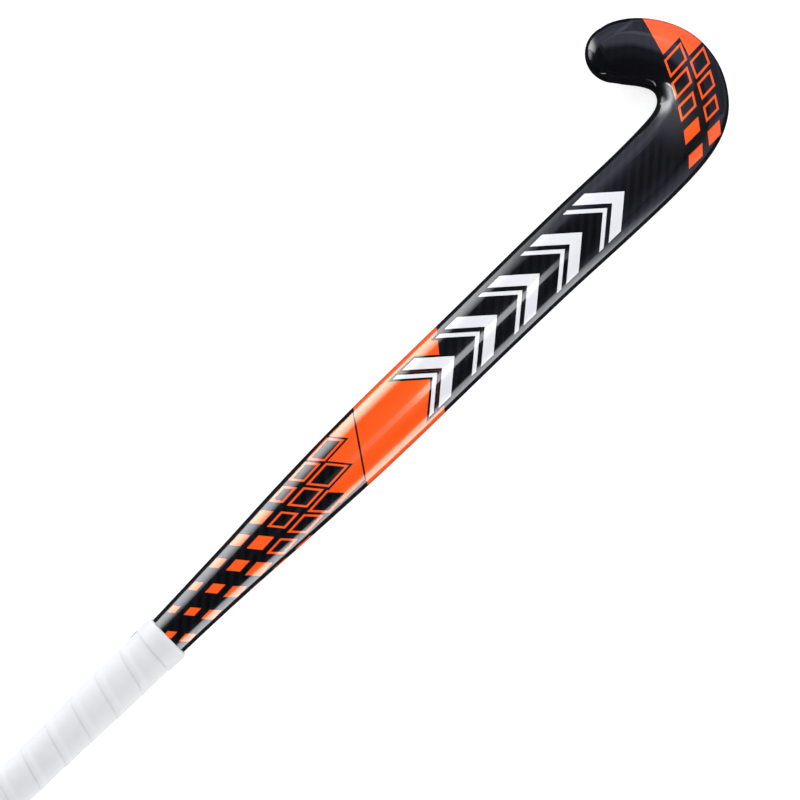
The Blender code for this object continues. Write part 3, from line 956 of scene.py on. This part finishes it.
def add_laminate():
    """Printed and lacquered shaft and hook."""
    skin = Skin()
    loft_skin(skin)
    for side in (BACK, FACE):
        paint_handle(skin, side)
        paint_motif(skin, side)
    paint_heel_wall(skin)
    paint_head(skin)
    paint_label(skin)
    paint_stripe(skin)
    skin.mesh.verts.index_update()
    normals = [corner[skin.normals].normalized() if corner[skin.normals].length > 0.5
               else corner.normal.copy() for corner in skin.mesh.verts]
    mesh = finished("laminate", skin.mesh)
    mesh.normals_split_custom_set_from_vertices(normals)
    materials = [
        carbon_material(),
        print_material("orange_print", (1.0, 0.100, 0.010), (0.98, 0.088, 0.008), 0.18, 0.55,
                       (1.0, 0.7, 0.25)),
        print_material("white_print", (0.80, 0.81, 0.85), (0.74, 0.75, 0.80), 0.30, 0.2, (1.0, 1.0, 1.0)),
        print_material("black_print", (0.004, 0.004, 0.005), (0.002, 0.002, 0.003), 0.40, 0.05,
                       (1.0, 1.0, 1.0)),
    ]
    return add_piece("laminate", mesh, materials, "outer_laminate")


# ---------------------------------------------------------------- handle coverings

GRIP_ROWS = 28  # rows across one turn of the grip tape
GRIP_COLUMNS = 88  # columns in one turn
GRIP_OUTWARD = 2 * GAP + BASE_TAPE_WALL + GRIP_WALL
GRIP_RIDGE = 0.38  # rise where a turn lies on the one before it
GRIP_CROWN = 0.10
GRIP_SOFTNESS = 0.07  # size of the tape's unevenness
GRIP_FADE = 8.0  # way over which the winding smooths out under the band and the cap
OVERLAP_START = 0.70  # share of a turn where the tape starts to climb onto the one before
OVERLAP_TOP = 0.88
CROWN_END = 0.78
TAPE_EDGE = 0.9  # share where the tape starts to fall to its edge
TAPE_FALL = 0.25
SHEER_EDGE = 0.985
WAY_ROUND = 100.0  # way round the handle for the embossing


def tape_rise(share):
    """Rise of the grip tape across one turn: a low crown, then the overlap, then a step down."""
    crown = GRIP_CROWN * math.sin(math.pi * min(share / CROWN_END, 1.0))
    fall = TAPE_FALL * smooth_step(TAPE_EDGE, 1.0, share)
    return crown + GRIP_RIDGE * smooth_step(OVERLAP_START, OVERLAP_TOP, share) * (1.0 - fall)


def tube_point(y, turn, outward):
    """Point on the handle at a distance up the stick and a share of a turn."""
    rib = rib_at(y)
    return place(rib, section_point(section_shape(rib, outward), turn % 1.0), outward) + OFFSET


def unevenness(y, turn, length, turns):
    """Smooth noise on the handle, with features of a given length along it."""
    angle = 2 * math.pi * turn
    return noise.noise(Vector((y / length, math.cos(angle) * turns, math.sin(angle) * turns)))


def spiral_mesh(name, start, end):
    """Wound tape as a tube whose rows run along the spiral, so that its edge is a clean line."""
    tube = bmesh.new()
    weave = tube.loops.layers.uv.new("weave")
    turns = math.ceil((end - start) / GRIP_PITCH)
    # a turn's last row stops a little short of the next turn's first, which makes the tape's sheer edge
    shares = [step / (GRIP_ROWS - 1) for step in range(GRIP_ROWS)]
    rows = [(turn_index + share * SHEER_EDGE, tape_rise(share))
            for turn_index in range(-1, turns + 1) for share in shares]
    grid = []
    for along, rise in rows:
        line = []
        for column in range(GRIP_COLUMNS):
            turn = column / GRIP_COLUMNS
            y = min(max(start + GRIP_PITCH * (along + turn), start), end)
            fade = smooth_step(BAND_END - GRIP_FADE / 2, BAND_END + GRIP_FADE, y)
            fade *= 1.0 - smooth_step(GRIP_END - GRIP_FADE, GRIP_END, y)
            soft = GRIP_SOFTNESS * unevenness(y, turn, 9.0, 2)
            outward = GRIP_OUTWARD + (rise + soft) * fade
            line.append((tube.verts.new(tube_point(y, turn, outward)), y))
        grid.append(line)
    count = len(grid)
    for row in range(count - 1):
        for column in range(GRIP_COLUMNS):
            lift, follow = divmod(column + 1, GRIP_COLUMNS)
            beside = row + lift * GRIP_ROWS
            if beside + 1 >= count:
                continue
            quad = (grid[row][column], grid[row + 1][column],
                    grid[beside + 1][follow], grid[beside][follow])
            if len({y for _, y in quad}) == 1:
                continue
            smooth_face(tube, [corner for corner, _ in quad], weave,
                        [((column + step) * WAY_ROUND / GRIP_COLUMNS, y)
                         for (_, y), step in zip(quad, (0, 0, 1, 1))])
    bmesh.ops.remove_doubles(tube, verts=tube.verts, dist=1e-6)
    loose = [corner for corner in tube.verts if not corner.link_faces]
    bmesh.ops.delete(tube, geom=loose, context="VERTS")
    return finished(name, tube)


def add_wall(piece, thickness):
    """Wall that grows inward from an open surface."""
    wall = piece.modifiers.new("wall", "SOLIDIFY")
    wall.thickness = thickness * MM
    wall.offset = -1.0


def add_grip():
    """Cushioned grip tape wound up the handle."""
    look = cushion_material("grip_cushion", (0.72, 0.725, 0.735), (0.67, 0.68, 0.70), 4.5, 0.60)
    mesh = spiral_mesh("grip_winding", GRIP_START, GRIP_END)
    piece = add_piece("grip_winding", mesh, [look], "grip_tape")
    add_wall(piece, GRIP_WALL * 0.8)


def ring_mesh(name, rings, looped, capped=False):
    """Smooth surface through a row of rings in the frame's metres."""
    surface = bmesh.new()
    weave = surface.loops.layers.uv.new("weave")
    loops = [[surface.verts.new(point) for point in ring] for ring in rings]
    stack = loops + loops[:1] if looped else loops
    for row, (near, far) in enumerate(zip(stack, stack[1:])):
        for column in range(len(near)):
            follow = (column + 1) % len(near)
            smooth_face(surface, (near[column], far[column], far[follow], near[follow]), weave,
                        [((column + c) * WAY_ROUND / len(near), row + r)
                         for r, c in ((0, 0), (1, 0), (1, 1), (0, 1))])
    if capped:
        surface.faces.new(loops[0])
        surface.faces.new(loops[-1][::-1])
    mesh = finished(name, surface)
    mesh.set_sharp_from_angle(angle=math.radians(40.0))
    return mesh


BAND_OVER = 3 * GAP + BASE_TAPE_WALL + GRIP_WALL
BAND_TURNS = [step / 96 for step in range(96)]
BAND_ROWS = 16
BAND_SLANT = 8.0
BAND_SOFTNESS = 0.10


def band_ring(share, outward, inside):
    """Ring of the finishing band at a share of its length, which grows round the handle."""
    ring = []
    for turn in BAND_TURNS:
        end = BAND_END - BAND_SLANT * (1.0 - turn)
        y = blend(BAND_START, end, share)
        soft = 0.0 if inside else BAND_SOFTNESS * unevenness(y, turn, 5.0, 3)
        ring.append(tube_point(y, turn, outward + soft))
    return ring


def add_band():
    """Finishing tape over the lower end of the grip, turned down onto the lacquer."""
    rings = []
    for row in range(BAND_ROWS + 1):
        share = row / BAND_ROWS
        rise = math.sqrt(1.0 - (1.0 - min(share / 0.16, 1.0)) ** 2)
        fall = 1.0 - 0.5 * smooth_step(0.93, 1.0, share)
        outward = blend(GAP + BAND_WALL, BAND_OVER + BAND_WALL, rise)
        rings.append(band_ring(share, BAND_OVER + (outward - BAND_OVER) * fall, False))
    lip = BAND_LIP / (BAND_END - BAND_SLANT - BAND_START)
    for share, outward in ((1.0, BAND_OVER), (lip, BAND_OVER), (lip, GAP), (0.0, GAP)):
        rings.append(band_ring(share, outward, True))
    look = cushion_material("band_tape", (0.70, 0.705, 0.715), (0.65, 0.66, 0.675), 3.0, 0.50)
    add_piece("finishing_band", ring_mesh("finishing_band", rings, True), [look],
              "finishing_tape")


CAP_LIP = 0.5  # rounding of the cap's open end
CAP_ROUND = 1.6  # rounding of its closed end
CAP_GROOVE = ((6.0, 0.0), (5.6, 0.5), (4.8, 0.5), (4.4, 0.0))  # way from the butt, depth
CAP_DISH = ((0.0, 4.0), (0.6, 4.8), (0.6, 9.0))  # the same for the dish in the end


def add_end_cap():
    """Rubber cap over the butt, with a groove round its rim and a shallow dish in its end."""
    outward = GAP + CAP_WALL
    profile = [(LENGTH - CAP_END_WALL, GAP), (CAP_START, GAP)]
    profile += [(CAP_START + CAP_LIP * (1 - math.cos(a)), outward - CAP_LIP + CAP_LIP * math.sin(a))
                for a in (0.0, 0.5, 1.0, math.pi / 2)]
    profile += [(LENGTH - way, outward - depth) for way, depth in CAP_GROOVE]
    for step in range(1, 9):
        a = math.pi / 2 * step / 8
        profile.append((LENGTH - CAP_ROUND * (1 - math.sin(a)), outward - CAP_ROUND * (1 - math.cos(a))))
    profile += [(LENGTH - way, outward - depth) for way, depth in CAP_DISH]
    rings = [[tube_point(y, turn, distance) for turn in BAND_TURNS] for y, distance in profile]
    look = plain_material("cap_rubber", (0.022, 0.022, 0.023), (0.012, 0.012, 0.013), 120.0, 0.62, 0.00006)
    add_piece("butt_cap", ring_mesh("butt_cap", rings, False, True), [look], "end_cap")


# CAD pieces inside the stick: nodes, and the arguments of plain_material
HIDDEN_LOOKS = [
    (["head_foam_core"], "core_foam", (0.80, 0.70, 0.46), (0.62, 0.50, 0.28), 300.0, 0.85, 0.0004),
    (["handle_foam_plug"], "handle_foam", (0.74, 0.70, 0.58), (0.56, 0.52, 0.42), 260.0, 0.85, 0.0004),
    (["butt_plug"], "plug_plastic", (0.22, 0.22, 0.23), (0.15, 0.15, 0.16), 60.0, 0.45, 0.00003),
    (["base_tape"], "adhesive_tape", (0.80, 0.74, 0.60), (0.66, 0.60, 0.46), 500.0, 0.70, 0.00008),
    (["inner_tube_toe_side", "inner_tube_heel_side"], "tube_laminate", (0.045, 0.045, 0.05),
     (0.016, 0.016, 0.018), 700.0, 0.40, 0.00005),
]


def dress_hidden_nodes():
    """Materials for the CAD pieces inside the stick."""
    for names, *arguments in HIDDEN_LOOKS:
        look = plain_material(*arguments)
        for name in names:
            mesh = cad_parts[name].data
            mesh.materials.clear()
            mesh.materials.append(look)


def add_floor():
    """Plain pale floor that glows softly, like a light table, and stays out of the reflections."""
    bpy.ops.mesh.primitive_plane_add(size=12.0, location=(0.0, 0.0, 0.0))
    floor = bpy.context.object
    floor.name = "floor"
    floor.visible_glossy = False
    look, shader = new_material("floor_paint")
    cloud = cloudy(look, 3.0, 2.0)
    plug_in(look, shader, Base_Color=mix_colour(look, cloud, (0.49, 0.49, 0.495), (0.51, 0.51, 0.515)),
            Roughness=0.9, Specular_IOR_Level=0.0, Emission_Color=(1.0, 1.0, 1.0, 1.0),
            Emission_Strength=FLOOR_GLOW)
    floor.data.materials.append(look)


add_camera()
add_lights()
add_floor()
add_laminate()
add_grip()
add_band()
add_end_cap()
dress_hidden_nodes()
